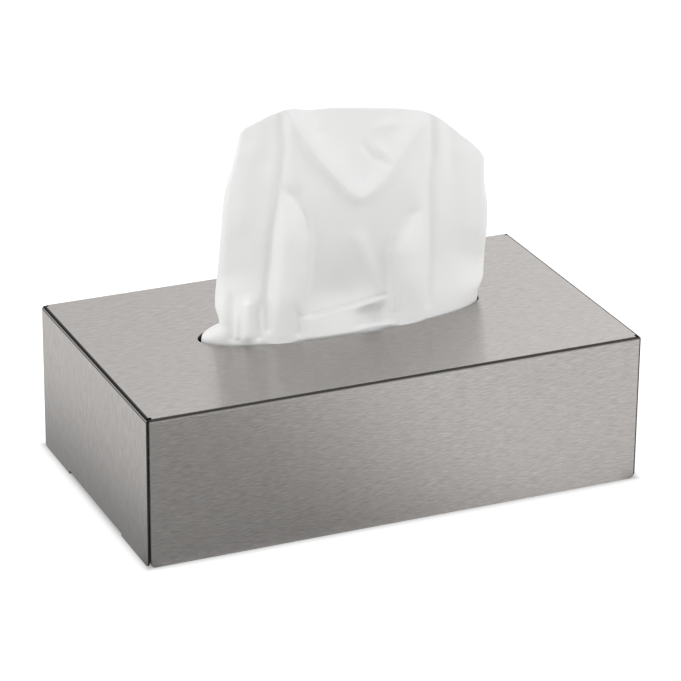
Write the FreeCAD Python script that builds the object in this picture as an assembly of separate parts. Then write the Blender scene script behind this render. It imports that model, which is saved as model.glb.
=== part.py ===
import FreeCAD, Part
import math
import os

from FreeCAD import Vector

# Tissue box: a folded steel cover over a base plate, with a pack of tissues and one tissue pulled up.
# Millimetres. Origin at the middle of the base, X along the front, Y to the back, Z up.

# Folded cover
cover_length = 260.0
cover_width = 150.0
cover_height = 77.0
sheet = 1.0              # thickness of the steel
bend_radius = 2.0        # outside radius of the folds
seam_gap = 0.3           # open seam between two neighbouring walls
relief_radius = 1.2      # hole where a seam meets the top
wall_corner_radius = 2.5

# Slot in the top, an ellipse
slot_length = 151.0
slot_width = 44.0
slot_x = 2.0
slot_y = 3.0
edge_break = 0.2

# Recess under each end wall
recess_width = 75.0
recess_height = 2.0
recess_radius = 0.8

# Base plate
plate = 1.0
plate_clearance = 0.5    # between the plate and the walls
plate_corner_radius = 4.0
tab_clearance = 1.0      # between a tab and the ends of its recess
tab_set_back = 0.3       # from the outer face of the end wall
pad_height = 0.9
pad_radius = 7.0
pad_inset = 22.0         # from the edges of the plate to the middle of a pad

# Folded pack
pack_length = 210.0
pack_width = 105.0
leaf = 2.4               # height of one folded bundle
leaf_count = 20
fold_bulge = 0.7         # how far a folded edge stands out

# Pulled-up tissue, as a solid sheet
tissue = 0.6
tissue_width = 208.0
tissue_clearance = 1.0   # from the rim of the slot
soft_gap = 0.3           # between the tissue and what it lies on
tail_length = 42.0       # lies on the pack
tail_radius = 10.0       # where the tissue turns up from the pack

# Its raised part: side limits at the foot and at the free edge, and the line of that edge
tissue_rise = 113.0      # of the free edge over the top, at its highest
peak_x = -23.0
left_foot_x = -68.0
left_head_x = -51.2
right_foot_x = 81.6
right_head_x = 79.0
edge_slope = 0.13        # fall of the free edge to the right, for each millimetre
left_droop = 6.3
left_droop_run = 28.0
right_droop = 23.5
right_droop_start = 40.5
right_droop_run = 40.0
side_height = 11.0       # in which the sides leave the rim of the slot
lean_height = 20.0       # in which the sheet leans in from the rim to stand upright
foot_turn_radius = 7.0   # of the turns at the two sides
head_turn_radius = 2.5
flap_skew = 0.44         # a flap behind lies that much to the right, for each millimetre of depth
flap_fall = 0.47         # and its edge that much lower
flap_drop = 4.0

# Folds of its front. A fold that stands out towards the front also rises and moves to the left.
fold_way = Vector(-0.44, -1.0, 0.47)
face_share = 0.62        # of the half width, measured from the middle, that has folds
foot_fold_share = 0.2    # of a fold that is left at the rim of the slot
fold_height = 28.0       # over the slot, where the folds reach their full depth
swag_x = 9.8             # lowest point of the fold that hangs between the two high points
swag_z = 142.5
swag_round = 4.0
swag_left_slope = 1.36
swag_right_slope = 1.12
swag_lip = 3.0
swag_lip_width = 6.0
swag_lean = 8.0          # how far the sheet leans back above it
swag_lean_width = 15.0
standing_folds = [       # middle, half width, height of the head and depth of each
    (-30.0, 9.5, 154.0, 3.6),
    (38.5, 9.0, 131.0, 3.4),
]
standing_fold_fade = 30.0
recess_left_x = -21.0    # the hollow between the standing folds
recess_right_x = 30.0
recess_top_z = 150.0
recess_low_z = 98.0
recess_depth = 3.6
recess_edge = 5.0

# Facets of the sheet
columns = 41
bend_stops = 3
raised_stops = 16
row_ease = 1.2           # rows lie closer together near the slot

half_length = cover_length / 2
half_width = cover_width / 2
plate_z = pad_height
plate_half_x = half_length - sheet - plate_clearance
plate_half_y = half_width - sheet - plate_clearance
pack_z = plate_z + plate
pack_height = leaf * leaf_count
pack_top = pack_z + pack_height
tail_z = pack_top + soft_gap + tissue / 2
hidden_length = tail_length + (math.pi / 2 - 2) * tail_radius + cover_height - tail_z
rim_half_x = slot_length / 2 - tissue_clearance
rim_half_y = slot_width / 2 - tissue_clearance


# One fold-down section: a flat top between two walls, as a closed outline of the steel's thickness.
# across() places a distance across the section and a height as a point in space.
def channel_outline(half_span, across):
    def run(inset, radius):
        side = half_span - inset
        top = cover_height - inset
        centre = side - radius
        lean = radius * math.sqrt(0.5)
        bend_z = top - radius
        left = [across(-side, 0.0), across(-side, bend_z)]
        right = [across(side, bend_z), across(side, 0.0)]
        return [
            Part.LineSegment(left[0], left[1]),
            Part.Arc(left[1], across(-centre - lean, bend_z + lean), across(-centre, top)),
            Part.LineSegment(across(-centre, top), across(centre, top)),
            Part.Arc(across(centre, top), across(centre + lean, bend_z + lean), right[0]),
            Part.LineSegment(right[0], right[1]),
        ]

    outer = run(0.0, bend_radius)
    inner = run(sheet, bend_radius - sheet)
    feet = []
    for side in (-1, 1):
        feet.append(Part.LineSegment(across(side * half_span, 0.0), across(side * (half_span - sheet), 0.0)))
    edges = [curve.toShape() for curve in outer + inner + feet]
    return Part.Wire(Part.__sortEdges__(edges))


# A pair of opposite walls with the top between them. The two lower corners of each wall are rounded.
def channel(half_span, half_run, across, along):
    outline = Part.Face(channel_outline(half_span, across))
    outline.translate(along * -half_run)
    body = outline.extrude(along * (2 * half_run))
    corners = []
    for edge in body.Edges:
        box = edge.BoundBox
        at_end = abs(abs(edge.CenterOfMass.dot(along)) - half_run) < 1e-6
        if box.ZMax < 1e-6 and at_end:
            corners.append(edge)
    return body.makeFillet(wall_corner_radius, corners)


def ellipse_prism(length, width, low, high):
    curve = Part.Ellipse(Vector(slot_x, slot_y, low), length / 2, width / 2)
    face = Part.Face(Part.Wire(curve.toShape()))
    return face.extrude(Vector(0, 0, high - low))


def slot_cutter():
    low = cover_height - sheet
    cutter = ellipse_prism(slot_length, slot_width, low, cover_height)
    flared = []
    for face_z, step in ((cover_height, -1), (low, 1)):
        wide = Part.Ellipse(Vector(slot_x, slot_y, face_z), slot_length / 2 + edge_break, slot_width / 2 + edge_break)
        edge_z = face_z + step * edge_break
        tight = Part.Ellipse(Vector(slot_x, slot_y, edge_z), slot_length / 2, slot_width / 2)
        rims = [Part.Wire(wide.toShape()), Part.Wire(tight.toShape())]
        flared.append(Part.makeLoft(rims, True, True))
    return cutter.multiFuse(flared)


def end_recess_cutter(width, height, radius):
    reach = cover_length
    block = Part.makeBox(2 * reach, width, 2 * height, Vector(-reach, -width / 2, -height))
    long_edges = [edge for edge in block.Edges if edge.Length > 2 * reach - 1e-6]
    return block.makeFillet(radius, long_edges)


def make_cover():
    front_and_back = channel(
        half_width,
        half_length - sheet - seam_gap / 2,
        lambda side, z: Vector(0, side, z),
        Vector(1, 0, 0),
    )
    ends = channel(
        half_length,
        half_width - sheet - seam_gap / 2,
        lambda side, z: Vector(side, 0, z),
        Vector(0, 1, 0),
    )
    body = front_and_back.fuse(ends)
    cutters = [slot_cutter(), end_recess_cutter(recess_width, recess_height, recess_radius)]
    relief_x = half_length - bend_radius
    relief_y = half_width - bend_radius
    relief_z = cover_height - bend_radius - sheet
    for side in (-1, 1):
        for depth in (-1, 1):
            place = Vector(side * relief_x, depth * relief_y, relief_z)
            cutters.append(Part.makeCylinder(relief_radius, 2 * bend_radius, place))
    return body.cut(cutters).removeSplitter()


def rounded_plate(half_x, half_y, radius, low, thickness):
    block = Part.makeBox(2 * half_x, 2 * half_y, thickness, Vector(-half_x, -half_y, low))
    uprights = [edge for edge in block.Edges if edge.BoundBox.ZLength > thickness - 1e-6]
    return block.makeFillet(radius, uprights)


# The plate fills the inside of the cover, and its two tabs reach out under the end walls.
def make_base_plate():
    body = rounded_plate(plate_half_x, plate_half_y, plate_corner_radius, plate_z, plate)
    tab_half_y = recess_width / 2 - tab_clearance
    tabs = rounded_plate(half_length - tab_set_back, tab_half_y, recess_radius, plate_z, plate)
    return body.fuse(tabs).removeSplitter()


def make_base_pads():
    pads = []
    for side in (-1, 1):
        for depth in (-1, 1):
            place = Vector(side * (plate_half_x - pad_inset), depth * (plate_half_y - pad_inset), 0)
            pads.append(Part.makeCylinder(pad_radius, pad_height, place))
    return Part.makeCompound(pads)


# Interfolded leaves: a round fold on one long side meets two cut edges on the other,
# so the folds on the two sides are half a leaf apart in height.
def make_tissue_stack():
    half = pack_width / 2 - fold_bulge

    def folds(side, start, count):
        edges = []
        for index in range(count):
            low = start + index * leaf
            foot = Vector(0, side * half, low)
            crest = Vector(0, side * (half + fold_bulge), low + leaf / 2)
            head = Vector(0, side * half, low + leaf)
            edges.append(Part.Arc(foot, crest, head).toShape())
        return edges

    edges = folds(-1, pack_z, leaf_count)
    half_leaf = leaf / 2
    edges += folds(1, pack_z + half_leaf, leaf_count - 1)
    for low in (pack_z, pack_top - half_leaf):
        edges.append(Part.makeLine(Vector(0, half, low), Vector(0, half, low + half_leaf)))
    for level in (pack_z, pack_top):
        edges.append(Part.makeLine(Vector(0, -half, level), Vector(0, half, level)))
    section = Part.Face(Part.Wire(Part.__sortEdges__(edges)))
    section.translate(Vector(-pack_length / 2, 0, 0))
    return section.extrude(Vector(pack_length, 0, 0))


def blend(share, low, high):
    share = min(max(share, 0.0), 1.0)
    return low + (high - low) * share * share * (3 - 2 * share)


# The tissue in plan is a C open at the back. u runs across it from -1 to 1, in equal lengths of tissue.
# At the slot it follows the inside of the rim.
def plan_in_slot(u):
    reach = abs(u) * tissue_width / 2
    step = math.radians(0.5)
    angle = 0.0
    while reach > 0:
        reach -= step * math.hypot(rim_half_x * math.cos(angle), rim_half_y * math.sin(angle))
        angle += step
    side = math.copysign(1, u)
    return slot_x + side * rim_half_x * math.sin(angle), slot_y - rim_half_y * math.cos(angle)


# Free of the slot it has a flat front, a round turn at each side and a flap behind.
def plan_in_air(u, left_x, right_x, turn_radius):
    front = (right_x - left_x) / 2 - turn_radius
    turn = math.pi * turn_radius
    reach = abs(u) * tissue_width / 2
    if reach < front:
        x, y = reach, slot_y - turn_radius
    elif reach < front + turn:
        angle = (reach - front) / turn_radius
        x, y = front + turn_radius * math.sin(angle), slot_y - turn_radius * math.cos(angle)
    else:
        x, y = 2 * front + turn - reach, slot_y + turn_radius
    return (left_x + right_x) / 2 + math.copysign(x, u) + flap_skew * (y - slot_y), y


# Height of the free edge at a place across the sheet, over the middle of its side turns.
def edge_height(x):
    fall = edge_slope * max(x - peak_x, 0.0)
    left = left_droop * blend((peak_x - x) / left_droop_run, 0, 1)
    right = right_droop * blend((x - right_droop_start) / right_droop_run, 0, 1)
    return cover_height + tissue_rise - fall - left - right


# How far a place on the front stands out, from the folds that cross it.
def fold_depth(x, z):
    slope = swag_left_slope if x < swag_x else swag_right_slope
    swag_line = swag_z + slope * (math.hypot(x - swag_x, swag_round) - swag_round)
    over = (z - swag_line) / math.hypot(1, slope)
    depth = swag_lip * math.exp(-(over / swag_lip_width) ** 2)
    depth -= swag_lean * (1 - math.exp(-max(over, 0.0) / swag_lean_width))
    for middle, half, head, high in standing_folds:
        across = (x - middle) / half
        depth += high * max(1 - across * across, 0.0) * blend((head - z) / standing_fold_fade, 0, 1)
    inside = min(x - recess_left_x, recess_right_x - x)
    sink = blend((recess_top_z - z) / (recess_top_z - recess_low_z), 0, 1)
    return depth - recess_depth * blend(inside / recess_edge, 0, 1) * sink


# Above the top, rise goes from 0 at the slot to 1 at the free edge.
def raised_point(u, rise):
    low_x, low_y = plan_in_slot(u)
    left_x = left_foot_x + (left_head_x - left_foot_x) * rise
    right_x = right_foot_x + (right_head_x - right_foot_x) * rise
    turn_radius = foot_turn_radius + (head_turn_radius - foot_turn_radius) * rise
    high_x, high_y = plan_in_air(u, left_x, right_x, turn_radius)
    head_x, head_y = plan_in_air(u, left_head_x, right_head_x, head_turn_radius)
    lean = 1 - math.exp(-rise * tissue_rise / lean_height)
    at_side = blend(rise * tissue_rise / side_height, 0, 1) * blend(4 * (abs(u) - 0.35), 0, 1)
    edge_z = edge_height(head_x) - flap_fall * (head_y - slot_y)
    edge_z -= flap_drop * blend((abs(u) - face_share) / 0.08, 0, 1)
    point = Vector(
        low_x + (high_x - low_x) * max(lean, at_side),
        low_y + (high_y - low_y) * lean,
        cover_height + rise * (edge_z - cover_height),
    )
    on_face = blend((face_share + 0.12 - abs(u)) / 0.12, 0, 1)
    free = foot_fold_share + (1 - foot_fold_share) * blend(rise * tissue_rise / fold_height, 0, 1)
    depth = fold_depth(point.x, point.z) * on_face * free
    if rise == 0:
        return Vector(point.x, max(point.y - depth, low_y), point.z)
    return point + fold_way * depth


# Below the top it comes off the flat tail in a round bend, and narrows from its full width to the slot.
def hidden_point(u, run):
    bend = math.pi / 2 * tail_radius
    flat = tail_length - tail_radius
    if run < flat:
        path_y = tail_length - run
        z = tail_z
    elif run < flat + bend:
        angle = (run - flat) / tail_radius
        path_y = tail_radius * (1 - math.sin(angle))
        z = tail_z + tail_radius * (1 - math.cos(angle))
    else:
        path_y = 0.0
        z = tail_z + tail_radius + run - flat - bend
    flat_x = tissue_width / 2 * u
    x, y = plan_in_slot(u)
    narrow = blend((z - tail_z) / (cover_height - tail_z), 0, 1)
    return Vector(flat_x + (x - flat_x) * narrow, path_y + y * narrow, z)


# Rows of points, one above the other, with stops closer together where the sheet bends most.
def tissue_rows():
    flat = tail_length - tail_radius
    bend = math.pi / 2 * tail_radius
    stops = [0.0, flat / 2] + [flat + bend * index / bend_stops for index in range(bend_stops)]
    stops += [flat + bend, (flat + bend + hidden_length) / 2]
    rises = [(index / raised_stops) ** row_ease for index in range(raised_stops + 1)]
    across = [2 * index / (columns - 1) - 1 for index in range(columns)]
    hidden = [[hidden_point(u, run) for u in across] for run in stops]
    return hidden + [[raised_point(u, rise) for u in across] for rise in rises]


# A grid of points moved along its own normal.
def moved_grid(grid, distance):
    moved = []
    last_row = len(grid) - 1
    last_column = len(grid[0]) - 1
    for i, row in enumerate(grid):
        new_row = []
        for j, point in enumerate(row):
            up = grid[min(i + 1, last_row)][j] - grid[max(i - 1, 0)][j]
            side = row[min(j + 1, last_column)] - row[max(j - 1, 0)]
            normal = side.cross(up)
            normal.normalize()
            new_row.append(point + normal * distance)
        moved.append(new_row)
    return moved


# Flat three-cornered facets between two rows of points. Their long sides slant outwards and up
# on both sides of the middle, as the swag does.
def facets_between(first, second):
    faces = []
    count = len(first) - 1
    for index in range(count):
        a, b = first[index], first[index + 1]
        c, d = second[index + 1], second[index]
        pair = ((a, b, d), (b, c, d)) if index < count / 2 else ((a, b, c), (a, c, d))
        for corners in pair:
            faces.append(Part.Face(Part.makePolygon([*corners, corners[0]])))
    return faces


# Two faceted skins, one each side of the sheet's middle, closed by a rim all round.
def make_tissue_sheet():
    rows = tissue_rows()
    skins = [moved_grid(rows, tissue / 2), moved_grid(rows, -tissue / 2)]
    faces = []
    for skin in skins:
        for low, high in zip(skin, skin[1:]):
            faces += facets_between(low, high)
    for edge in (0, -1):
        faces += facets_between(skins[0][edge], skins[1][edge])
        sides = [[row[edge] for row in skin] for skin in skins]
        faces += facets_between(sides[0], sides[1])
    shell = Part.makeShell(faces)
    shell.sewShape()
    return Part.makeSolid(shell)


def main():
    os.makedirs("parts", exist_ok=True)
    nodes = {
        "cover": make_cover(),
        "base_plate": make_base_plate(),
        "base_pads": make_base_pads(),
        "tissue_stack": make_tissue_stack(),
        "tissue_sheet": make_tissue_sheet(),
    }
    for name, shape in nodes.items():
        box = shape.BoundBox
        print(name, "valid", shape.isValid(), "solids", len(shape.Solids), "volume", round(shape.Volume, 1))
        print("  x", round(box.XMin, 2), round(box.XMax, 2), "y", round(box.YMin, 2), round(box.YMax, 2),
              "z", round(box.ZMin, 2), round(box.ZMax, 2))
        shape.exportStep(f"parts/{name}.step")


main()
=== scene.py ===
import math

import bpy
import numpy as np
from mathutils import Matrix, Vector, noise


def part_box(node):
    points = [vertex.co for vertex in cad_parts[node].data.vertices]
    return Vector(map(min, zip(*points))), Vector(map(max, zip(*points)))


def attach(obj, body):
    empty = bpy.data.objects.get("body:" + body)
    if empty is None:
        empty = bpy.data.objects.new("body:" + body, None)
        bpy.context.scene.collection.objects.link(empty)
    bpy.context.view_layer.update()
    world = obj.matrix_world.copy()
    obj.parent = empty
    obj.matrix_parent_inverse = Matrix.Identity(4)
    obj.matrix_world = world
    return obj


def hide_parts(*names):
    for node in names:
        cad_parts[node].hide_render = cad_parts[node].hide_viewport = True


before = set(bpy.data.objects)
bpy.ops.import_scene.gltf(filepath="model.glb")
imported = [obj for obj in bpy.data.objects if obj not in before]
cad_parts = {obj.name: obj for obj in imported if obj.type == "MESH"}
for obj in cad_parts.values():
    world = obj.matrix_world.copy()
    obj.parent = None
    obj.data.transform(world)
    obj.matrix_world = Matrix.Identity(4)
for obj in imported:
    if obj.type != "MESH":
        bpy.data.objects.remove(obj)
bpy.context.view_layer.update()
print("frame loaded:", sorted(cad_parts))

# One millimetre in metres, and one metre in millimetres
mm, perMetre = 0.001, 1000.0
coverLow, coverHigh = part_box("cover")
stackLow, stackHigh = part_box("tissue_stack")


# Small helpers for meshes and node trees

def newMesh(name, points, faces, smooth=True):
    mesh = bpy.data.meshes.new(name)
    mesh.from_pydata([tuple(p) for p in points], [], faces)
    mesh.validate()
    if smooth:
        mesh.polygons.foreach_set("use_smooth", [True] * len(mesh.polygons))
    mesh.update()
    piece = bpy.data.objects.new(name, mesh)
    bpy.context.scene.collection.objects.link(piece)
    return piece


# Turns the evaluated piece into a plain mesh.
def bakeModifiers(piece):
    graph = bpy.context.evaluated_depsgraph_get()
    mesh = bpy.data.meshes.new_from_object(piece.evaluated_get(graph), depsgraph=graph)
    piece.modifiers.clear()
    piece.data = mesh


# Writes where each point lies on the flat paper, in metres, as the UV map that the paper's material reads.
def writeFlat(piece, flat):
    corner = np.zeros(len(piece.data.loops), np.int32)
    piece.data.loops.foreach_get("vertex_index", corner)
    layer = piece.data.uv_layers.new(name="sheet")
    layer.data.foreach_set("uv", flat[corner].ravel())


# A colour at a share of its strength.
def shade(colour, share=1.0):
    return tuple(c * share for c in colour) + (1,)


white = (1, 1, 1)


def addNode(tree, kind, inputs=None, **settings):
    node = tree.nodes.new(kind)
    for key, value in settings.items():
        setattr(node, key, value)
    for key, value in (inputs or {}).items():
        socket = node.inputs[key]
        if isinstance(value, bpy.types.NodeSocket):
            tree.links.new(value, socket)
        else:
            socket.default_value = value
    return node


def mathNode(tree, operation, first, second=0.0):
    return addNode(tree, "ShaderNodeMath", {0: first, 1: second}, operation=operation).outputs[0]


def oneMinus(tree, value):
    return mathNode(tree, "SUBTRACT", 1.0, value)


def times(tree, first, *others):
    for other in others:
        first = mathNode(tree, "MULTIPLY", first, other)
    return first


# 0 below low, 1 above high, smooth between.
def softBetween(tree, value, low, high):
    step = addNode(tree, "ShaderNodeMapRange", {"Value": value, "From Min": low, "From Max": high},
                   interpolation_type="SMOOTHSTEP")
    return step.outputs[0]


def vectorMath(tree, operation, *inputs):
    return addNode(tree, "ShaderNodeVectorMath", dict(enumerate(inputs)), operation=operation).outputs


def separate(tree, vector):
    return addNode(tree, "ShaderNodeSeparateXYZ", {0: vector}).outputs


def joined(tree, x, y, z):
    return addNode(tree, "ShaderNodeCombineXYZ", {0: x, 1: y, 2: z}).outputs[0]


def noiseNode(tree, place, scale, detail, roughness=0.5):
    return addNode(tree, "ShaderNodeTexNoise", {"Vector": place, "Scale": scale, "Detail": detail,
                                                "Roughness": roughness}).outputs["Fac"]


def bumpNode(tree, chosen, height):
    return addNode(tree, "ShaderNodeBump", {"Strength": chosen["bump"], "Distance": chosen["deep"],
                                            "Height": height}).outputs[0]


def mixColour(tree, factor, first, second):
    mixed = addNode(tree, "ShaderNodeMix", {"Factor": factor, 6: first, 7: second}, data_type="RGBA")
    return mixed.outputs[2]


def mixShader(tree, factor, first, second):
    return addNode(tree, "ShaderNodeMixShader", {0: factor, 1: first, 2: second}).outputs[0]


def newMaterial(name):
    material = bpy.data.materials.new(name)
    material.use_nodes = True
    tree = material.node_tree
    tree.nodes.clear()
    output = tree.nodes.new("ShaderNodeOutputMaterial")
    return material, tree, output


# Camera, at the viewing angle of the photograph, in millimetres, degrees and pixels
view = dict(azimuth=-23.81, elevation=23.40, roll=0.56, distance=1715.6, across=1.45, above=60.75,
            focalPixels=3395.15, framePixels=681, sensor=36.0, nearest=50.0, furthest=50000.0)


def makeCamera():
    a, e, r = (math.radians(view[key]) for key in ("azimuth", "elevation", "roll"))
    back = Vector((math.sin(a) * math.cos(e), -math.cos(a) * math.cos(e), math.sin(e)))
    level = (-back).cross(Vector((0, 0, 1))).normalized()
    upright = level.cross(-back)
    right = level * math.cos(r) + upright * math.sin(r)
    up = upright * math.cos(r) - level * math.sin(r)
    place = (back * view["distance"] + right * view["across"] + up * view["above"]) * mm
    data = bpy.data.cameras.new("camera")
    data.sensor_width = view["sensor"]
    data.lens = view["focalPixels"] / view["framePixels"] * view["sensor"]
    data.clip_start, data.clip_end = view["nearest"] * mm, view["furthest"] * mm
    camera = bpy.data.objects.new("camera", data)
    bpy.context.scene.collection.objects.link(camera)
    camera.matrix_world = Matrix.Translation(place) @ Matrix((right, up, back)).transposed().to_4x4()
    bpy.context.scene.camera = camera


makeCamera()
print("camera placed")


# Brushed steel

# Two layers of strokes, in millimetres along the grain and across it, and the noise below which they are dark
# and above which they are light
grainSet = dict(stroke=7.0, width=0.25, detail=1.5, fineStroke=4.0, fineWidth=0.16, fineDetail=1.0,
                fineShift=37.0, fineShare=0.5, roughness=0.55, darkBelow=0.385, lightAbove=0.615)
grainSockets = ("stroke", "width", "fineStroke", "fineWidth")


# Short brushed strokes along X of the point that it is given.
def makeGrainGroup():
    s = grainSet
    group = bpy.data.node_groups.new("brushedGrain", "ShaderNodeTree")
    face = group.interface
    face.new_socket("point", in_out="INPUT", socket_type="NodeSocketVector")
    for name in grainSockets:
        face.new_socket(name, in_out="INPUT", socket_type="NodeSocketFloat")
    face.new_socket("strokes", in_out="OUTPUT", socket_type="NodeSocketFloat")
    given = group.nodes.new("NodeGroupInput")
    made = group.nodes.new("NodeGroupOutput")
    x, y, z = (times(group, part, perMetre) for part in separate(group, given.outputs["point"]))

    def layer(length, width, detail, shift):
        along = mathNode(group, "ADD", mathNode(group, "DIVIDE", x, given.outputs[length]), shift)
        across = [mathNode(group, "DIVIDE", part, given.outputs[width]) for part in (y, z)]
        return noiseNode(group, joined(group, along, *across), 1.0, detail, s["roughness"])

    coarse = layer("stroke", "width", s["detail"], 0.0)
    fine = layer("fineStroke", "fineWidth", s["fineDetail"], s["fineShift"])
    both = mathNode(group, "ADD", times(group, coarse, 1 - s["fineShare"]),
                    times(group, fine, s["fineShare"]))
    group.links.new(both, made.inputs["strokes"])
    return group


grainGroup = makeGrainGroup()

# The strokes' colours, the share of the dark one that is left in a bend as a painted dark reflection, and how
# much the roughness varies
steelSet = {
    "coverSteel": dict(dark=(0.375, 0.358, 0.345), light=(0.545, 0.522, 0.503), bend=0.34, roughness=0.25,
                       vary=0.08, anisotropic=0.95, bump=0.03, deep=0.00004),
    "plateSteel": dict(dark=(0.36, 0.355, 0.35), light=(0.44, 0.435, 0.43), bend=1.0, roughness=0.36,
                       vary=0.10, anisotropic=0.6, bump=0.10, deep=0.00004),
}
# How far a normal points along X on an end and along Y on the front or back, and how far its largest part
# falls short of 1 in a bend, where the painted dark reflection fades in
facing = dict(end=0.72, front=0.5, paintedDarkFrom=0.04, paintedDarkTo=0.18)
grainAxis = (1, 0, 0)
# Keeps the tangent from vanishing where the normal lies along the grain
tangentNudge = (0, -0.01, 0)

# Painted light across the fold of an end, in millimetres from the top face (below 0) to the wall (above 0): a
# painted dark reflection, and in it a painted highlight, each from, to. Further than this reach from the fold
# there is none.
foldPaintedLight = dict(dark=(-1.7, 1.7), paintedHighlight=(0.55, 0.95), soft=0.25, reach=2.4, level=0.07, paintedHighlightLevel=1.4)
# Painted shade on the front and back walls along an open corner, beside the seam's gap, in millimetres
seamPaintedShade = dict(wide=1.2, soft=0.3, level=0.2)


# Painted dark reflections and highlights along the folds of the ends, and painted shade along the open
# corners.
def paintFoldLight(tree, colour, dark, place, sideY):
    inX, _, inZ = separate(tree, vectorMath(tree, "ABSOLUTE", place)[0])
    fromEnd, fromTop = (times(tree, mathNode(tree, "SUBTRACT", edge, inward), perMetre)
                        for edge, inward in ((coverHigh.x, inX), (coverHigh.z, inZ)))
    over = mathNode(tree, "SUBTRACT", fromTop, fromEnd)
    near = mathNode(tree, "LESS_THAN", mathNode(tree, "MAXIMUM", fromEnd, fromTop), foldPaintedLight["reach"])
    near = times(tree, near, mathNode(tree, "LESS_THAN", sideY, facing["front"]))
    soft = foldPaintedLight["soft"]
    # A painted dark reflection across each fold, and a painted highlight within it
    for limits, share in (("dark", "level"), ("paintedHighlight", "paintedHighlightLevel")):
        low, high = foldPaintedLight[limits]
        band = times(tree, softBetween(tree, over, low - soft, low),
                     oneMinus(tree, softBetween(tree, over, high, high + soft)))
        colour = mixColour(tree, times(tree, near, band), colour, shade(dark, foldPaintedLight[share]))
    # Painted shade beside the seam of each open corner
    rim = oneMinus(tree, softBetween(tree, fromEnd, seamPaintedShade["wide"], seamPaintedShade["wide"] + seamPaintedShade["soft"]))
    rim = times(tree, rim, mathNode(tree, "GREATER_THAN", sideY, facing["front"]))
    return mixColour(tree, rim, colour, shade(dark, seamPaintedShade["level"]))


# The grain runs along X, and on folded-down ends it turns down with the sheet.
def makeSteel(name, foldedEnds):
    s = steelSet[name]
    material, tree, output = newMaterial(name)
    place = addNode(tree, "ShaderNodeTexCoord").outputs["Object"]
    normal = addNode(tree, "ShaderNodeNewGeometry").outputs["Normal"]
    sideX, sideY, sideZ = separate(tree, vectorMath(tree, "ABSOLUTE", normal)[0])
    point = place
    if foldedEnds:
        x, y, z = separate(tree, place)
        onEnd = mathNode(tree, "GREATER_THAN", sideX, facing["end"])
        point = addNode(tree, "ShaderNodeMix", {"Factor": onEnd, 4: place, 5: joined(tree, z, y, x)},
                        data_type="VECTOR").outputs[1]
    grain = {"point": point, **{key: grainSet[key] for key in grainSockets}}
    strokes = addNode(tree, "ShaderNodeGroup", grain, node_tree=grainGroup).outputs["strokes"]
    tone = addNode(tree, "ShaderNodeMapRange", {"Value": strokes, "From Min": grainSet["darkBelow"],
                                                "From Max": grainSet["lightAbove"]}).outputs[0]
    colour = mixColour(tree, tone, shade(s["dark"]), shade(s["light"]))
    # Painted dark reflection: the bends are darker in colour, standing in for the dark surroundings that they
    # mirror
    straight = mathNode(tree, "MAXIMUM", mathNode(tree, "MAXIMUM", sideX, sideY), sideZ)
    bend = softBetween(tree, oneMinus(tree, straight), facing["paintedDarkFrom"], facing["paintedDarkTo"])
    colour = mixColour(tree, bend, colour, shade(s["dark"], s["bend"]))
    if foldedEnds:
        colour = paintFoldLight(tree, colour, s["dark"], place, sideY)
    rough = mathNode(tree, "ADD", s["roughness"] - s["vary"] / 2, times(tree, strokes, s["vary"]))
    across = vectorMath(tree, "CROSS_PRODUCT", grainAxis, normal)[0]
    tangent = vectorMath(tree, "ADD", across, tangentNudge)[0]
    shader = addNode(tree, "ShaderNodeBsdfPrincipled", {
        "Base Color": colour, "Metallic": 1.0, "Roughness": rough, "Anisotropic": s["anisotropic"],
        "Normal": bumpNode(tree, s, strokes), "Tangent": tangent})
    tree.links.new(shader.outputs[0], output.inputs[0])
    return material


# Tissue paper: crepe in millimetres and clouds in waves to the metre, with the same share of the relief
paperSet = dict(colour=(0.90, 0.90, 0.895), shade=(0.86, 0.86, 0.855), crepe=0.5, crepeRoughness=0.6,
                cloud=60.0, detail=3.0, share=0.6, bump=0.35, deep=0.00006, glow=0.08, roughness=0.95,
                specular=0.15, sheen=0.1)


def makePaper():
    s = paperSet
    material, tree, output = newMaterial("tissuePaper")
    flat = addNode(tree, "ShaderNodeUVMap", uv_map="sheet").outputs[0]
    crepe = noiseNode(tree, flat, perMetre / s["crepe"], s["detail"], s["crepeRoughness"])
    cloud = noiseNode(tree, flat, s["cloud"], s["detail"])
    colour = mixColour(tree, cloud, shade(s["shade"]), shade(s["colour"]))
    height = mathNode(tree, "ADD", times(tree, crepe, s["share"]), times(tree, cloud, s["share"]))
    bump = bumpNode(tree, s, height)
    shader = addNode(tree, "ShaderNodeBsdfPrincipled", {
        "Base Color": colour, "Roughness": s["roughness"], "Normal": bump,
        "Specular IOR Level": s["specular"], "Sheen Weight": s["sheen"]})
    through = addNode(tree, "ShaderNodeBsdfTranslucent", {"Color": shade(s["colour"]), "Normal": bump})
    tree.links.new(mixShader(tree, s["glow"], shader.outputs[0], through.outputs[0]), output.inputs[0])
    return material


# Rubber of the pads: its specks in waves to the metre, and the roughness between them and on them
rubberSet = dict(colour=(0.035, 0.035, 0.036), speck=900.0, detail=2.0, least=0.6, most=0.85, bump=0.3,
                 deep=0.0001)


def makeRubber():
    s = rubberSet
    material, tree, output = newMaterial("padRubber")
    speck = noiseNode(tree, addNode(tree, "ShaderNodeTexCoord").outputs["Object"], s["speck"], s["detail"])
    rough = addNode(tree, "ShaderNodeMapRange", {"Value": speck, "To Min": s["least"], "To Max": s["most"]})
    shader = addNode(tree, "ShaderNodeBsdfPrincipled", {
        "Base Color": shade(s["colour"]), "Roughness": rough.outputs[0], "Normal": bumpNode(tree, s, speck)})
    tree.links.new(shader.outputs[0], output.inputs[0])
    return material


def paint(piece, material):
    piece.data.materials.clear()
    piece.data.materials.append(material)


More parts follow.
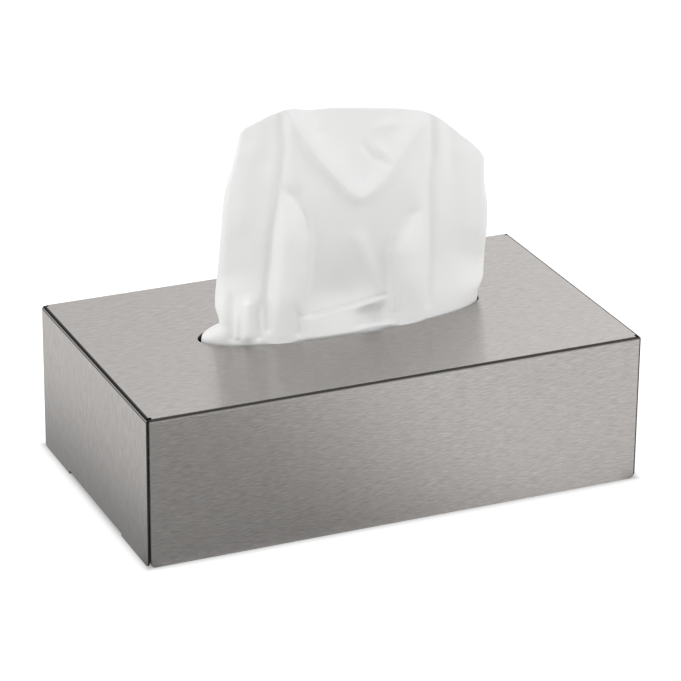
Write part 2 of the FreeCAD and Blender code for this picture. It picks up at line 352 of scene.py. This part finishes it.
coverSteel = makeSteel("coverSteel", True)
plateSteel = makeSteel("plateSteel", False)
tissuePaper = makePaper()
padRubber = makeRubber()
paint(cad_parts["cover"], coverSteel)
paint(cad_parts["base_plate"], plateSteel)
paint(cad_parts["base_pads"], padRubber)
print("steel, paper and rubber made")


# The raised tissue, in millimetres. Columns run across the sheet and rows along its pull.
# Places on its face are given as they stand in front view on an upright plane at depth facePlane.
# A point that lies further back keeps its place there: it moves to the right and down by these shares.
facePlane, moveRight, moveDown = -3.0, 0.441, 0.473

sheetSet = dict(
    width=208.0, thick=0.22, columns=260, rows=184, lowRows=26, rowsCloser=1.3,
    # What lies flat on the pack, the round bend up from it, and the gap to the pack
    tail=42.0, tailRadius=10.0, gap=0.3,
    # The slot's ellipse, how far the sheet keeps off its rim, and the half turn that it is measured over
    slotX=2.0, slotY=3.0, slotHalfLength=75.5, slotHalfWidth=22.0, rimGap=2.2, leftGap=1.9, rightGap=0.7,
    slotDegrees=170.0, slotSteps=700,
    rise=112.0,
    # Heights and the sheet's left limit there, then the same on the right
    left=[(79.8, -73.5), (86, -67.4), (99, -68.3), (120, -66.6), (139, -64.8), (151, -63.8), (163, -61.6),
          (171, -58.9), (179, -56.7), (188, -54.2)],
    right=[(79.8, 75.5), (84, 76.3), (92, 77.4), (112, 79.4), (126, 80.0), (139, 78.5), (148, 77.6),
           (157, 77.4)],
    # Distance across and the height of the free edge
    edge=[(-62, 184), (-53.8, 186.7), (-44.6, 189.7), (-38.4, 191.8), (-32.2, 192.9), (-25.9, 193.0),
          (-19.7, 191.8), (-7.1, 191.1), (5.5, 189.6), (18.3, 187.7), (31.1, 185.6), (44, 182.2),
          (50.6, 178.7), (57.2, 173.7), (63.8, 168.1), (70.5, 162.5), (77, 156.2), (86, 149)],
    # The radius of the turn at both sides, low and high, and the drop of what lies behind it
    turnLow=7.0, turnHigh=2.5, flapDrop=4.0,
    # From, to, as shares of half the width: what lies behind, what hurries aside, and where the face ends
    flap=(0.60, 0.68), aside=(0.35, 0.60), faceEnd=(0.62, 0.74),
    # Shares of the rise over which the sheet leans in, and over which its sides reach their limits
    leanReach=0.19, leftReach=0.08, rightReach=0.16,
    # How the folds come in: from and to below the rim, their share there, and the share of the rise over
    # which the rest of them follows
    loose=(12, 2, 0.42, 0.20, 0.58), atFoot=(8, 0, 0.5, 0.03, 0.5),
    # The most that they lie back and stand out at the rim, how much more above it, and the shares of the rise
    # from which and to which that grows
    mostBack=(1.6, 14, 0, 0.12), mostOut=(1.7, 12, 0.01, 0.10), liftReach=0.03,
    # How far the sides fall back, and the distances from the middle where that begins and is reached in full
    bow=11.5, bowMiddle=8.0, bowFlat=24.0, bowEnd=66.0, bowMost=1.2, bowPower=1.6, bowReach=0.35,
    # A hollow in the face, just above the slot
    hollow=dict(line=[(15.2, 85.6), (17.0, 73.5)], wide=6.4, deep=5.8),
    # Unevenness: its length across and along the sheet, its height, and its place in the noise
    crumple=[(34, 60, 0.3, 3.1), (13, 42, 0.35, 7.7), (6.5, 18, 0.14, 12.3)], crumpleReach=(0.02, 0.25))


def smoothStep(t, low=0.0, high=1.0):
    t = np.clip((t - low) / (np.asarray(high) - low), 0, 1)
    return t * t * (3 - 2 * t)


# A smooth line through a few points.
def throughPoints(x, points):
    xs, ys = np.array(points, float).T
    slope = np.gradient(ys, xs)
    k = np.clip(np.searchsorted(xs, x) - 1, 0, len(xs) - 2)
    h = xs[k + 1] - xs[k]
    t = np.clip((x - xs[k]) / h, 0, 1)
    a, b = (1 + 2 * t) * (1 - t) ** 2, t * (1 - t) ** 2
    c, d = t * t * (3 - 2 * t), t * t * (t - 1)
    return a * ys[k] + b * h * slope[k] + c * ys[k + 1] + d * h * slope[k + 1]


def planInSlot(u):
    s = sheetSet
    halfX = s["slotHalfLength"] - (s["leftGap"] + s["rightGap"]) / 2
    halfY = s["slotHalfWidth"] - s["rimGap"]
    angle = np.linspace(0, math.radians(s["slotDegrees"]), s["slotSteps"])
    speed = np.hypot(halfX * np.cos(angle), halfY * np.sin(angle))
    length = np.concatenate([[0], np.cumsum((speed[1:] + speed[:-1]) / 2 * np.diff(angle))])
    at = np.interp(np.abs(u) * s["width"] / 2, length, angle)
    endX = s["slotHalfLength"] - np.where(u < 0, s["leftGap"], s["rightGap"])
    return s["slotX"] + np.sign(u) * endX * np.sin(at), s["slotY"] - halfY * np.cos(at)


def planInAir(u, centre, half, radius):
    reach = np.abs(u) * sheetSet["width"] / 2
    front = half - radius
    angle = np.clip((reach - front) / radius, 0, math.pi)
    back = np.clip(reach - front - math.pi * radius, 0, None)
    x = np.minimum(reach, front) + radius * np.sin(angle) - back
    return centre + np.sign(u) * x, sheetSet["slotY"] - radius * np.cos(angle)


# Folds on the face, with points as (across, height). A soft one, the swag, hangs between two high points: it
# stands out by lip, fades over wide above and under below, and the sheet leans back above it.
swagSet = dict(line=[(-44, 208), (-34, 199), (-24.9, 184.3), (-13.8, 166.6), (-2.6, 153.4), (4.5, 145.2),
                     (9.8, 142.2), (15.0, 143.6), (22.3, 149.6), (27.8, 156.1), (32.5, 162.9), (39.4, 171.4),
                     (48, 181), (58, 192)],
               lip=2.3, wide=8.5, under=3.4, lean=2.4, leanWide=18.0)
# Two standing folds: heights with the left and right limits, how far each stands out, and where it ends
lobeSet = [
    dict(sides=[(70, -41.0, -23.0), (84, -40.0, -22.3), (104, -39.5, -19.7), (124, -37.6, -18.2),
                (135, -36.4, -19.9), (145, -35.0, -23.6), (154, -33.4, -31.2)],
         high=4.4, top=154, soft=32, steep="right"),
    dict(sides=[(70, 30.5, 45.6), (75, 30.3, 45.8), (90, 29.0, 47.1), (110, 27.5, 47.8), (120, 30.1, 47.6),
                (127, 35.4, 47.3), (131, 46.0, 47.2)],
         high=4.2, top=131, soft=26, steep="left"),
]
# How much wider and higher than its limits a standing fold is, and the powers of its steep and gentle sides
lobeShape = dict(wider=0.5, higher=2.0, steep=0.7, gentle=1.5)
# The recess between them. Its darkest place is given as middle, half widths and depth.
recessSet = dict(left=[(75, -22.0), (104, -19.7), (124, -18.2), (145, -23.6)],
                 right=[(75, 30.3), (110, 27.5), (120, 30.1), (131, 40)],
                 deep=4.4, top=150, bottom=98, edgeOver=1.0, edgeWide=5.0, darkest=(-3, 88, 15, 17, 4.5))
# Creases and soft ridges: points, width, and how far each stands out
foldLines = [
    ([(-32.4, 196), (-31.1, 173), (-33.6, 155), (-36.8, 132), (-39.9, 101), (-40, 80)], 2.6, -1.3),
    ([(-28.5, 192), (-26.5, 172), (-25.0, 158), (-22, 147)], 4.0, 1.2),
    ([(-39.6, 192), (-39.4, 176), (-40.5, 160)], 4.0, -0.8),
    ([(-50, 182), (-52, 160), (-54, 130)], 6.0, 0.9),
    ([(46.5, 186), (47.5, 170), (47.8, 158), (46.5, 144), (47.2, 126), (47.8, 107), (46.5, 80)], 2.4, -1.4),
    ([(52.0, 180), (53, 160), (52.5, 140), (52.5, 120)], 3.2, 0.7),
    ([(57.2, 176), (58.2, 160), (58.8, 142)], 3.6, -0.8),
    ([(66, 166), (68, 140), (69, 110)], 6.0, 0.8),
    ([(7.5, 173.0), (16.6, 162.0), (29.0, 154.5)], 1.7, -0.9),
    ([(15, 171), (22, 164), (27, 162)], 2.6, 0.8),
    ([(12, 176), (22, 178), (34, 178)], 3.0, 0.7),
    ([(-14, 182), (-9, 175)], 3.2, -0.6),
    ([(5.8, 127), (14, 108), (24, 90), (27, 82)], 4.0, 1.3),
    # Along the inner sides of the standing folds
    ([(-33, 155), (-25.5, 147), (-20.5, 136), (-18.6, 124), (-20.0, 104), (-22.6, 88), (-23.4, 76)],
     2.0, -1.2),
    ([(44, 133), (35.4, 128), (29.8, 120), (27.2, 110), (28.6, 92), (30, 78)], 2.0, -1.2),
]
# The same close to the slot: pleats that fan out of its left end, and a crease above the strip
footLines = [
    ([(-50.4, 70), (-49.9, 79), (-49.9, 89), (-49.5, 101)], 2.6, 1.9),
    ([(-58.3, 105), (-58.4, 93), (-58.4, 76)], 2.8, -1.5),
    ([(-55.6, 93), (-55.8, 78)], 1.0, 0.8),
    ([(-64.6, 103), (-64.2, 88)], 2.4, 0.8),
    ([(-43.6, 98), (-44.1, 85), (-44.0, 76)], 1.6, -1.4),
    ([(-39.2, 97), (-38.4, 80)], 1.4, -0.9),
    ([(-68.5, 84), (-66.5, 77)], 1.6, -1.2),
    ([(-25.4, 93), (-23.8, 84), (-23.2, 70)], 1.7, -1.5),
    ([(-24, 83.2), (-11.6, 84.2), (-0.8, 85.6), (10.0, 86.7), (23, 88.2)], 1.3, -0.9),
]
# A line fades over a share of its length, and over no more than so many millimetres. Below lowest it runs on.
lineEnds = dict(share=0.45, most=9.0, lowest=95.0)
# The strip that is pressed against the front of the slot: its top, how far it stands out, the share of the
# recess that it takes away, how sharp it is, and from where to where it fades at its ends
stripSet = dict(line=[(-33.0, 80.5), (-23.4, 82.6), (-11.6, 83.2), (-0.8, 84.6), (10.0, 85.6), (17.5, 86.4),
                      (24, 87.4)],
                out=0.3, flatter=0.5, sharp=1.3, fadeLeft=(-26, -12), fadeRight=(16, 22))


# 1 on a line of points, fading to its sides and towards its ends.
def nearLine(x, z, points, wide):
    best = np.full(x.shape, np.inf)
    reach = np.zeros(x.shape)
    done = 0.0
    for (x0, z0), (x1, z1) in zip(points, points[1:]):
        dx, dz = x1 - x0, z1 - z0
        length = math.hypot(dx, dz)
        t = np.clip(((x - x0) * dx + (z - z0) * dz) / (length * length), 0, 1)
        away = np.hypot(x - x0 - t * dx, z - z0 - t * dz)
        reach = np.where(away < best, done + t * length, reach)
        best = np.minimum(best, away)
        done += length
    ends = np.minimum(reach, np.where(z < lineEnds["lowest"], done, done - reach))
    return np.exp(-(best / wide) ** 2) * smoothStep(ends, 0, min(lineEnds["share"] * done, lineEnds["most"]))


def linesRelief(x, z, lines):
    total = np.zeros(x.shape)
    for points, wide, high in lines:
        total += high * nearLine(x, z, points, wide)
    return total


def swagRelief(x, z):
    s = swagSet
    # The slope over one millimetre
    slope = throughPoints(x + 0.5, s["line"]) - throughPoints(x - 0.5, s["line"])
    over = (z - throughPoints(x, s["line"])) / np.sqrt(1 + slope * slope)
    lip = s["lip"] * np.exp(-(over / np.where(over < 0, s["under"], s["wide"])) ** 2)
    lean = s["lean"] * (1 - np.exp(-np.clip(over, 0, None) / s["leanWide"]))
    return lip - lean


def lobeRelief(x, z):
    s = lobeShape
    total = np.zeros(x.shape)
    for lobe in lobeSet:
        heights, lows, highs = zip(*lobe["sides"])
        low, high = np.interp(z, heights, lows), np.interp(z, heights, highs)
        t = (x - (low + high) / 2) / ((high - low) / 2 + s["wider"])
        if lobe["steep"] == "left":
            t = -t
        hump = np.clip(1 - t * t, 0, 1)
        hump = np.where(t > 0, hump ** s["steep"], hump ** s["gentle"])
        total += lobe["high"] * hump * smoothStep(lobe["top"] + s["higher"] - z, 0, lobe["soft"])
    return total


def recessRelief(x, z):
    s = recessSet
    low, high = (np.interp(z, *zip(*s[side])) for side in ("left", "right"))
    within = (smoothStep(x - low, -s["edgeOver"], s["edgeWide"])
              * smoothStep(high - x, -s["edgeOver"], s["edgeWide"]))
    deep = s["deep"] * smoothStep(s["top"] - z, 0, s["top"] - s["bottom"])
    midX, midZ, wideX, wideZ, more = s["darkest"]
    deep = deep + more * np.exp(-((x - midX) / wideX) ** 2 - ((z - midZ) / wideZ) ** 2)
    return -deep * within


def stripRelief(x, z):
    s = stripSet
    below = throughPoints(x, s["line"]) - z
    side = smoothStep(x, *s["fadeLeft"]) * (1 - smoothStep(x, *s["fadeRight"]))
    return smoothStep(below, -s["sharp"], s["sharp"]) * side


# Folds the face of the sheet, then lets its sides fall back in a shallow bow, in front as behind.
def foldFace(x, y, z, u, run, rise, hidden):
    s = sheetSet
    face = 1 - smoothStep(np.abs(u), *s["faceEnd"])
    loose, atFoot = (smoothStep(run, hidden - low, hidden - high) * below
                     + smoothStep(rise, 0.0, reach) * rest
                     for low, high, below, reach, rest in (s["loose"], s["atFoot"]))
    behind = y - facePlane
    faceX, faceZ = x - moveRight * behind, z + moveDown * behind
    strip = stripRelief(faceX, faceZ)
    out = loose * (swagRelief(faceX, faceZ) + lobeRelief(faceX, faceZ) + linesRelief(faceX, faceZ, foldLines)
                   + recessRelief(faceX, faceZ) * (1 - stripSet["flatter"] * strip))
    out += atFoot * (stripSet["out"] * strip + linesRelief(faceX, faceZ, footLines))
    back, backMore, *backReach = s["mostBack"]
    front, frontMore, *frontReach = s["mostOut"]
    out = np.clip(out * face, -back - backMore * smoothStep(rise, *backReach),
                  front + frontMore * smoothStep(rise, *frontReach))
    hollow = s["hollow"]
    out -= hollow["deep"] * nearLine(faceX, faceZ, hollow["line"], hollow["wide"]) * atFoot * face
    past = np.abs(faceX - s["bowMiddle"]) - s["bowFlat"]
    aside = np.clip(past / (s["bowEnd"] - s["bowFlat"]), 0, s["bowMost"])
    out -= s["bow"] * aside ** s["bowPower"] * smoothStep(rise, 0, s["bowReach"])
    lift = moveDown * out * smoothStep(rise, 0, s["liftReach"])
    return np.stack([x - moveRight * out, y - out, z + lift], -1)


# The sheet's points, with where each lies: across it from -1 to 1, along it, and as a share of the rise.
def sheetPoints():
    s = sheetSet
    top = coverHigh.z / mm
    tailZ = stackHigh.z / mm + s["gap"] + s["thick"] / 2
    bend = math.pi / 2 * s["tailRadius"]
    flat = s["tail"] - s["tailRadius"]
    hidden = flat + bend + top - tailZ - s["tailRadius"]
    u = np.linspace(-1, 1, s["columns"])[None, :].repeat(s["rows"], 0)
    # Rows lie closer together just above the slot
    above = np.linspace(0, 1, s["rows"] - s["lowRows"]) ** s["rowsCloser"] * s["rise"]
    run = np.concatenate([np.linspace(0, hidden, s["lowRows"], endpoint=False), hidden + above])
    run = run[:, None].repeat(s["columns"], 1)
    inX, inY = planInSlot(u)
    # Below the slot: flat on the pack, a round bend, then up to the slot
    angle = np.clip((run - flat) / s["tailRadius"], 0, math.pi / 2)
    pathY = np.where(run < flat, s["tail"] - run, s["tailRadius"] * (1 - np.sin(angle)))
    lowZ = tailZ + s["tailRadius"] * (1 - np.cos(angle)) + np.clip(run - flat - bend, 0, None)
    narrow = smoothStep((lowZ - tailZ) / (top - tailZ))
    flatX = s["width"] / 2 * u
    lowX, lowY = flatX + (inX - flatX) * narrow, pathY + inY * narrow
    # Above it: the sheet leans in from the rim and turns back at both sides
    rise = np.clip((run - hidden) / s["rise"], 0, 1)
    atTurn = moveDown * (s["slotY"] - facePlane)
    endLeft, endRight = (throughPoints(np.array([s[side][-1][1]]), s["edge"])[0]
                         for side in ("left", "right"))
    left = throughPoints(top + atTurn + rise * (endLeft - top - atTurn), s["left"])
    right = throughPoints(top + atTurn + rise * (endRight - top - atTurn), s["right"])
    radius = s["turnLow"] + (s["turnHigh"] - s["turnLow"]) * rise
    airX, airY = planInAir(u, (left + right) / 2, (right - left) / 2, radius)
    edgeZ = throughPoints(airX[-1:].repeat(s["rows"], 0), s["edge"])
    edgeZ = edgeZ - s["flapDrop"] * smoothStep(np.abs(u), *s["flap"]) - moveDown * (airY - facePlane)
    airX = airX + moveRight * (airY - facePlane)
    lean = (1 - np.exp(-rise / s["leanReach"])) / (1 - math.exp(-1 / s["leanReach"]))
    atSide = smoothStep(rise, 0, np.where(u > 0, s["rightReach"], s["leftReach"]))
    atSide = atSide * smoothStep(np.abs(u), *s["aside"])
    highX = inX + (airX - inX) * np.maximum(lean, atSide)
    highY = inY + (airY - inY) * lean
    highZ = top + rise * (edgeZ - top)
    x, y, z = (np.where(run < hidden, low, high)
               for low, high in ((lowX, highX), (lowY, highY), (lowZ, highZ)))
    return foldFace(x, y, z, u, run, rise, hidden), u, run, rise


# Soft unevenness of thin paper, along the sheet's own normal.
def addCrumple(points, flat, rise):
    normal = np.cross(np.gradient(points, axis=1), np.gradient(points, axis=0))
    normal /= np.linalg.norm(normal, axis=-1, keepdims=True)
    amount = np.zeros(rise.shape)
    for acrossSize, alongSize, high, seed in sheetSet["crumple"]:
        for at in np.ndindex(rise.shape):
            across, along = flat[at]
            amount[at] += high * noise.noise(Vector((across / acrossSize, along / alongSize, seed)))
    return points + normal * (amount * smoothStep(rise, *sheetSet["crumpleReach"]))[..., None]


def makeSheet():
    points, u, run, rise = sheetPoints()
    flat = np.stack([u * sheetSet["width"] / 2, run], -1)
    points = addCrumple(points, flat, rise)
    index = np.arange(u.size).reshape(u.shape)
    faces = np.stack([index[:-1, :-1], index[:-1, 1:], index[1:, 1:], index[1:, :-1]], -1).reshape(-1, 4)
    piece = newMesh("raisedTissue", points.reshape(-1, 3) * mm, faces.tolist())
    writeFlat(piece, flat.reshape(-1, 2) * mm)
    solid = piece.modifiers.new("thickness", "SOLIDIFY")
    solid.thickness = sheetSet["thick"] * mm
    solid.offset = 0
    bakeModifiers(piece)
    paint(piece, tissuePaper)
    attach(piece, "root")
    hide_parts("tissue_sheet")
    return piece


raisedTissue = makeSheet()
print("raised tissue made:", len(raisedTissue.data.polygons), "faces")


# The folded pack: leaves stacked by Geometry Nodes, each turned end for end from the one below. Slack is in
# millimetres. A leaf's parts are shares of its height, and its cut edges lie so many metres in.
packSet = dict(leaves=40, slack=0.6, seed=5, halfHigh=0.48, foldRadius=0.6, foldSteps=8,
               cuts=[(0.0006, -0.48), (0, -0.06), (0.0012, 0), (0.0002, 0.06), (0.0005, 0.48)])


# One folded leaf: a round fold along one long side, two cut edges along the other.
def leafShape():
    s = packSet
    half = (stackHigh - stackLow) / 2
    high = (stackHigh.z - stackLow.z) / s["leaves"]
    wide, depth = half.x - s["slack"] * mm, half.y - s["slack"] * mm
    radius = high * s["foldRadius"]
    angles = [math.pi / 2 + math.pi * k / s["foldSteps"] for k in range(s["foldSteps"] + 1)]
    profile = [(-depth + radius + radius * math.cos(angle), s["halfHigh"] * high * math.sin(angle))
               for angle in angles]
    profile += [(depth - inward, share * high) for inward, share in s["cuts"]]
    points = [(x, y, z) for x in (-wide, wide) for y, z in profile]
    count = len(profile)
    faces = [[k, (k + 1) % count, count + (k + 1) % count, count + k] for k in range(count)]
    faces += [list(range(count))[::-1], list(range(count, 2 * count))]
    return newMesh("leafShape", points, faces, smooth=False)


def makePack():
    leaf = leafShape()
    tree = bpy.data.node_groups.new("stackedLeaves", "GeometryNodeTree")
    pitch = (stackHigh.z - stackLow.z) / packSet["leaves"]
    values = {"Leaf": ("Object", leaf), "Leaves": ("Int", packSet["leaves"]), "Pitch": ("Float", pitch),
              "Slack": ("Float", packSet["slack"] * mm), "Material": ("Material", tissuePaper)}
    face = tree.interface
    face.new_socket("Geometry", in_out="OUTPUT", socket_type="NodeSocketGeometry")
    for name, (kind, _) in values.items():
        face.new_socket(name, in_out="INPUT", socket_type="NodeSocket" + kind)
    given = tree.nodes.new("NodeGroupInput")
    made = tree.nodes.new("NodeGroupOutput")
    step = joined(tree, 0.0, 0.0, given.outputs["Pitch"])
    line = addNode(tree, "GeometryNodeMeshLine", {"Count": given.outputs["Leaves"], "Offset": step})
    odd = mathNode(tree, "MODULO", addNode(tree, "GeometryNodeInputIndex").outputs[0], 2.0)
    turn = joined(tree, 0.0, 0.0, times(tree, odd, math.pi))
    slack = given.outputs["Slack"]
    negative = times(tree, slack, -1.0)
    least, most = joined(tree, negative, negative, 0.0), joined(tree, slack, slack, 0.0)
    shift = addNode(tree, "FunctionNodeRandomValue", {0: least, 1: most, "Seed": packSet["seed"]},
                    data_type="FLOAT_VECTOR").outputs[0]
    moved = addNode(tree, "GeometryNodeSetPosition", {"Geometry": line.outputs[0], "Offset": shift})
    source = addNode(tree, "GeometryNodeObjectInfo", {"Object": given.outputs["Leaf"]})
    placed = addNode(tree, "GeometryNodeInstanceOnPoints", {
        "Points": moved.outputs[0], "Instance": source.outputs["Geometry"], "Rotation": turn})
    real = addNode(tree, "GeometryNodeRealizeInstances", {0: placed.outputs[0]})
    painted = addNode(tree, "GeometryNodeSetMaterial", {"Geometry": real.outputs[0],
                                                        "Material": given.outputs["Material"]})
    tree.links.new(painted.outputs[0], made.inputs[0])
    piece = newMesh("foldedPack", [(0, 0, 0)], [])
    modifier = piece.modifiers.new("leaves", "NODES")
    modifier.node_group = tree
    for item in tree.interface.items_tree:
        if item.in_out == "INPUT":
            modifier[item.identifier] = values[item.name][1]
    bakeModifiers(piece)
    bpy.data.objects.remove(leaf)
    middle = (stackHigh + stackLow) / 2
    piece.data.transform(Matrix.Translation((middle.x, middle.y, stackLow.z + pitch / 2)))
    place = np.zeros(len(piece.data.vertices) * 3)
    piece.data.vertices.foreach_get("co", place)
    x, y, z = place.reshape(-1, 3).T
    writeFlat(piece, np.stack([x, y + z], -1))
    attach(piece, "root")
    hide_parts("tissue_stack")
    return piece


foldedPack = makePack()
print("folded pack made:", len(foldedPack.data.polygons), "faces")


# White floor and soft studio light

# Strengths of the soft light, with more from the sides and less from the front, and of what the metal
# mirrors: a panel, brighter to its right, the horizon and the rest. Directions are in degrees, from +Y and
# from level.
skySet = dict(soft=0.72, sideSoft=0.84, frontLess=0.30, panel=1.15, brighter=0.18, brighterOver=(12.0, 36.0),
              panelLeft=-6.0, panelRight=66.0, panelTop=52.0, edge=9.0, rightEdge=14.0, rest=0.40,
              horizon=0.95, horizonTop=11.0, seen=1.0)
# The floor as the camera sees it, with the light that it catches and a short painted shadow at the box's
# foot,
# its colour for the light that it throws back, and its strength where the metal mirrors it, with painted
# shade:
# the metal sees it darker at the foot, beside both ends, where it eases towards the back, and to the left in
# front. Lengths are in metres.
floorSet = dict(size=6.0, white=0.74, caught=0.5, paintedShadow=0.5, paintedShadowReach=0.003, colour=0.9, mirrored=1.10,
                footDark=0.20, footReach=0.045, endDark=0.52, endReach=0.08, endEdge=0.01,
                endBack=(-0.06, 0.22), endEase=0.45, cardDark=0.59, cardRight=(-0.05, 0.10),
                cardBack=(-0.085, -0.055))


# White light of this strength, from a surface or from the sky.
def whiteLight(tree, kind, strength):
    return addNode(tree, kind, {"Color": shade(white), "Strength": strength}).outputs[0]


# One shader once the light has spread off paper or floor, one for what polished metal mirrors to the eye, and
# one for what the camera sees.
def byRay(tree, spread, mirrored, seen):
    path = addNode(tree, "ShaderNodeLightPath").outputs
    shiny = mathNode(tree, "MAXIMUM", path["Is Glossy Ray"], path["Is Transmission Ray"])
    direct = oneMinus(tree, mathNode(tree, "MINIMUM", path["Diffuse Depth"], 1.0))
    unseen = mixShader(tree, times(tree, shiny, direct), spread, mirrored)
    return mixShader(tree, path["Is Camera Ray"], unseen, seen)


def makeFloor():
    s = floorSet
    far = s["size"]
    floor = newMesh("floor", [(-far, -far, 0), (far, -far, 0), (far, far, 0), (-far, far, 0)], [[0, 1, 2, 3]])
    material, tree, output = newMaterial("whiteFloor")
    place = addNode(tree, "ShaderNodeTexCoord").outputs["Object"]
    x, y, _ = separate(tree, place)
    # Distance from the box's foot
    corner = (coverHigh.x, coverHigh.y, 0)
    past = vectorMath(tree, "SUBTRACT", vectorMath(tree, "ABSOLUTE", place)[0], corner)[0]
    away = vectorMath(tree, "LENGTH", vectorMath(tree, "MAXIMUM", past, (0, 0, 0))[0])["Value"]
    foot, paintedShadowFade = (mathNode(tree, "POWER", math.e, mathNode(tree, "DIVIDE", away, -s[reach]))
                   for reach in ("footReach", "paintedShadowReach"))
    card = times(tree, oneMinus(tree, softBetween(tree, x, *s["cardRight"])),
                 oneMinus(tree, softBetween(tree, y, *s["cardBack"])))
    beyond = mathNode(tree, "ABSOLUTE", x)
    atEnd = times(tree, oneMinus(tree, softBetween(tree, beyond, coverHigh.x, coverHigh.x + s["endReach"])),
                  softBetween(tree, y, coverLow.y - s["endEdge"], coverLow.y),
                  softBetween(tree, beyond, coverHigh.x - s["endEdge"], coverHigh.x),
                  oneMinus(tree, times(tree, softBetween(tree, y, *s["endBack"]), s["endEase"])))
    level = s["mirrored"]
    # Painted shade on the floor as the metal mirrors it: darker at the foot, beside the ends and on a card in
    # front
    for dark, mask in ((s["footDark"], foot), (s["cardDark"], card), (s["endDark"], atEnd)):
        level = times(tree, level, oneMinus(tree, times(tree, mask, dark)))
    plain, caught = (addNode(tree, "ShaderNodeBsdfDiffuse", {"Color": shade(white, s[key])}).outputs[0]
                     for key in ("colour", "caught"))
    forMetal, shining, black = (whiteLight(tree, "ShaderNodeEmission", strength)
                                for strength in (level, s["white"], 0.0))
    seen = addNode(tree, "ShaderNodeAddShader", {0: shining, 1: caught}).outputs[0]
    # Painted shadow: a short dark line at the box's foot, where the camera sees the floor
    seen = mixShader(tree, times(tree, paintedShadowFade, s["paintedShadow"]), seen, black)
    tree.links.new(byRay(tree, plain, forMetal, seen), output.inputs[0])
    paint(floor, material)


def makeWorld():
    s = skySet
    world = bpy.data.worlds.new("studio")
    bpy.context.scene.world = world
    world.use_nodes = True
    tree = world.node_tree
    tree.nodes.clear()
    output = tree.nodes.new("ShaderNodeOutputWorld")
    x, y, z = separate(tree, addNode(tree, "ShaderNodeTexCoord").outputs["Generated"])
    turned = times(tree, mathNode(tree, "ARCTAN2", x, y), math.degrees(1))
    raised = times(tree, mathNode(tree, "ARCSINE", z), math.degrees(1))
    left, right, top, edge = s["panelLeft"], s["panelRight"], s["panelTop"], s["edge"]
    inPanel = times(tree, softBetween(tree, turned, left - edge / 2, left + edge / 2),
                    oneMinus(tree, softBetween(tree, turned, right, right + s["rightEdge"])),
                    oneMinus(tree, softBetween(tree, raised, top - edge, top + edge)))
    low = oneMinus(tree, softBetween(tree, raised, s["horizonTop"] - edge, s["horizonTop"]))
    around = mathNode(tree, "ADD", s["rest"], times(tree, low, s["horizon"] - s["rest"]))
    panel = addNode(tree, "ShaderNodeMapRange", {
        "Value": turned, "From Min": s["brighterOver"][0], "From Max": s["brighterOver"][1],
        "To Min": s["panel"] * (1 - s["brighter"]), "To Max": s["panel"] * (1 + s["brighter"])}).outputs[0]
    mirrored = addNode(tree, "ShaderNodeMix", {"Factor": inPanel, 2: around, 3: panel}).outputs[0]
    sides = times(tree, mathNode(tree, "ABSOLUTE", x), s["sideSoft"])
    front = times(tree, mathNode(tree, "MAXIMUM", times(tree, y, -1.0), 0.0), s["frontLess"])
    soft = mathNode(tree, "SUBTRACT", mathNode(tree, "ADD", s["soft"], sides), front)
    lights = [whiteLight(tree, "ShaderNodeBackground", strength) for strength in (soft, mirrored, s["seen"])]
    tree.links.new(byRay(tree, *lights), output.inputs[0])


# Soft lamps: place, size and power in metres and watts, all aimed at the box
lampAim = (0, 0, 0.08)
lampSet = {
    "overheadLamp": dict(place=(-0.5, -0.2, 1.6), size=1.2, power=3.4),
    "rightLamp": dict(place=(1.3, -0.6, 0.9), size=0.9, power=2.6),
}


def makeLamps():
    for name, lamp in lampSet.items():
        data = bpy.data.lights.new(name, "AREA")
        data.shape = "SQUARE"
        data.size = lamp["size"]
        data.energy = lamp["power"]
        piece = bpy.data.objects.new(name, data)
        bpy.context.scene.collection.objects.link(piece)
        place = Vector(lamp["place"])
        turned = (Vector(lampAim) - place).to_track_quat("-Z", "Y").to_matrix().to_4x4()
        piece.matrix_world = Matrix.Translation(place) @ turned


makeFloor()
makeWorld()
makeLamps()
bpy.context.scene.view_settings.view_transform = "Standard"
print("floor and lamps made")
